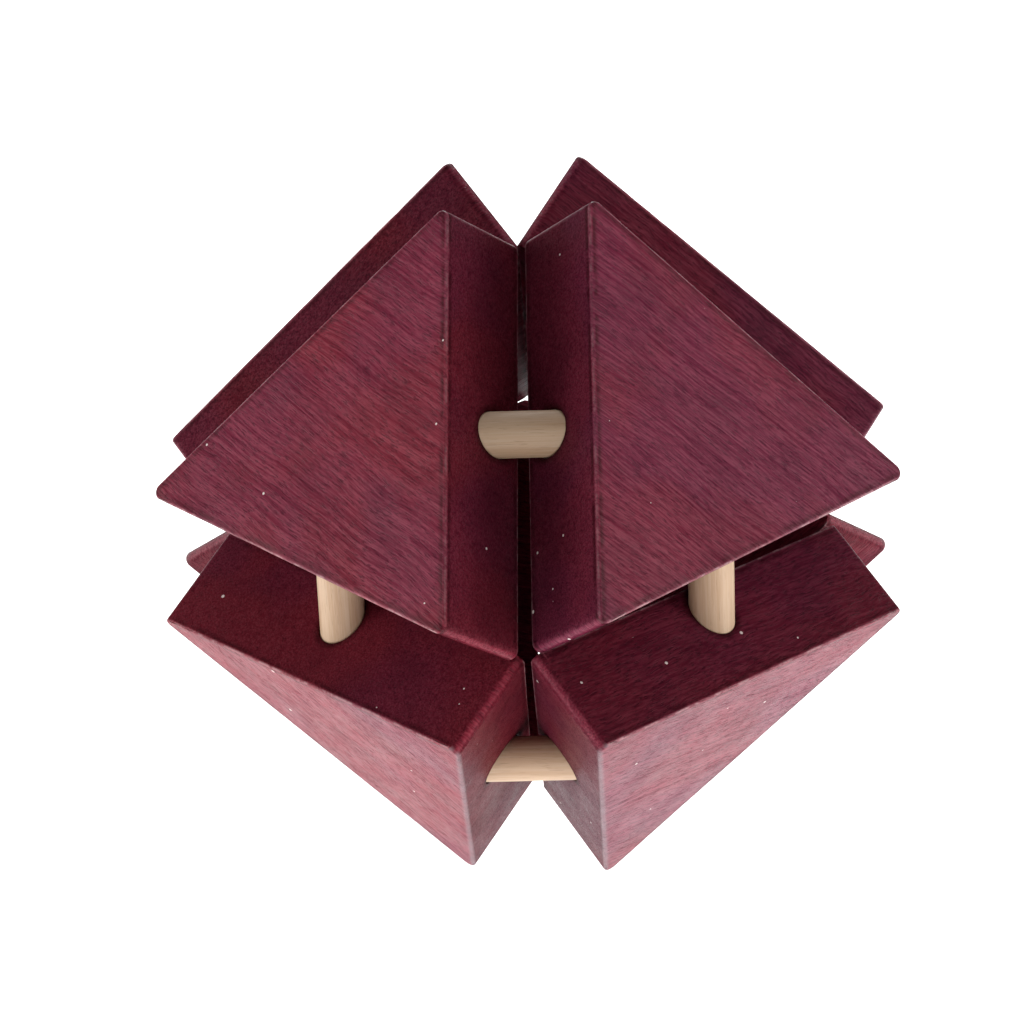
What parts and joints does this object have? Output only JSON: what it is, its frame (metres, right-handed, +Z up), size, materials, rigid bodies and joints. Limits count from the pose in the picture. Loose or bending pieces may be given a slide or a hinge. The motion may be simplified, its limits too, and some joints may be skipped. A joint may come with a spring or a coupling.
{
  "type": "take-apart wooden puzzle",
  "caption": "Wooden take-apart puzzle of equal triangular blocks plugged together by round dowels around an empty middle; it pulls apart in halves.",
  "frame": {"origin": "on the floor, midway between the four points that the puzzle stands on, below the middle of the empty centre", "axes": "+Z up, +X to the right and +Y to the back as seen from the front; each axis is square to a plane in which the puzzle pulls into halves"},
  "size_m": [0.0819, 0.0831, 0.0817],
  "materials": {
    "stained_wood": "plum-red stain under a thin satin varnish, fine dark pores",
    "dowel_wood": "plain pale beech, sanded, unfinished"
  },
  "bodies": {
    "lower_back_left": {"block_lower_back_left": "stained_wood", "dowel_lower_back": "dowel_wood", "dowel_lower_left": "dowel_wood", "dowel_back_left": "dowel_wood"},
    "lower_back_right": {"block_lower_back_right": "stained_wood"},
    "lower_front_left": {"block_lower_front_left": "stained_wood"},
    "lower_front_right": {"block_lower_front_right": "stained_wood", "dowel_lower_front": "dowel_wood", "dowel_lower_right": "dowel_wood", "dowel_front_right": "dowel_wood"},
    "upper_back_left": {"block_upper_back_left": "stained_wood"},
    "upper_back_right": {"block_upper_back_right": "stained_wood", "dowel_upper_back": "dowel_wood", "dowel_upper_right": "dowel_wood", "dowel_back_right": "dowel_wood"},
    "upper_front_left": {"block_upper_front_left": "stained_wood", "dowel_upper_front": "dowel_wood", "dowel_upper_left": "dowel_wood", "dowel_front_left": "dowel_wood"},
    "upper_front_right": {"block_upper_front_right": "stained_wood"}
  },
  "joints": [
    {"name": "pull_right_half", "type": "slide", "parent": "lower_back_left", "child": "lower_back_right", "axis": [1, 0, 0], "range_m": [0, 0.03]},
    {"name": "pull_upper_left_pair", "type": "slide", "parent": "lower_back_left", "child": "upper_back_left", "axis": [0, 0, 1], "range_m": [0, 0.03]},
    {"name": "pull_upper_right_pair", "type": "slide", "parent": "lower_back_right", "child": "upper_back_right", "axis": [0, 0, 1], "range_m": [0, 0.03]},
    {"name": "pull_front_lower_left", "type": "slide", "parent": "lower_back_left", "child": "lower_front_left", "axis": [0, -1, 0], "range_m": [0, 0.03]},
    {"name": "pull_front_lower_right", "type": "slide", "parent": "lower_back_right", "child": "lower_front_right", "axis": [0, -1, 0], "range_m": [0, 0.03]},
    {"name": "pull_front_upper_left", "type": "slide", "parent": "upper_back_left", "child": "upper_front_left", "axis": [0, -1, 0], "range_m": [0, 0.03]},
    {"name": "pull_front_upper_right", "type": "slide", "parent": "upper_back_right", "child": "upper_front_right", "axis": [0, -1, 0], "range_m": [0, 0.03]}
  ],
  "couplings": [
    {"joint": "pull_upper_right_pair", "follows": "pull_upper_left_pair", "ratio": 1},
    {"joint": "pull_front_lower_right", "follows": "pull_front_lower_left", "ratio": 1},
    {"joint": "pull_front_upper_left", "follows": "pull_front_lower_left", "ratio": 1},
    {"joint": "pull_front_upper_right", "follows": "pull_front_lower_left", "ratio": 1}
  ]
}
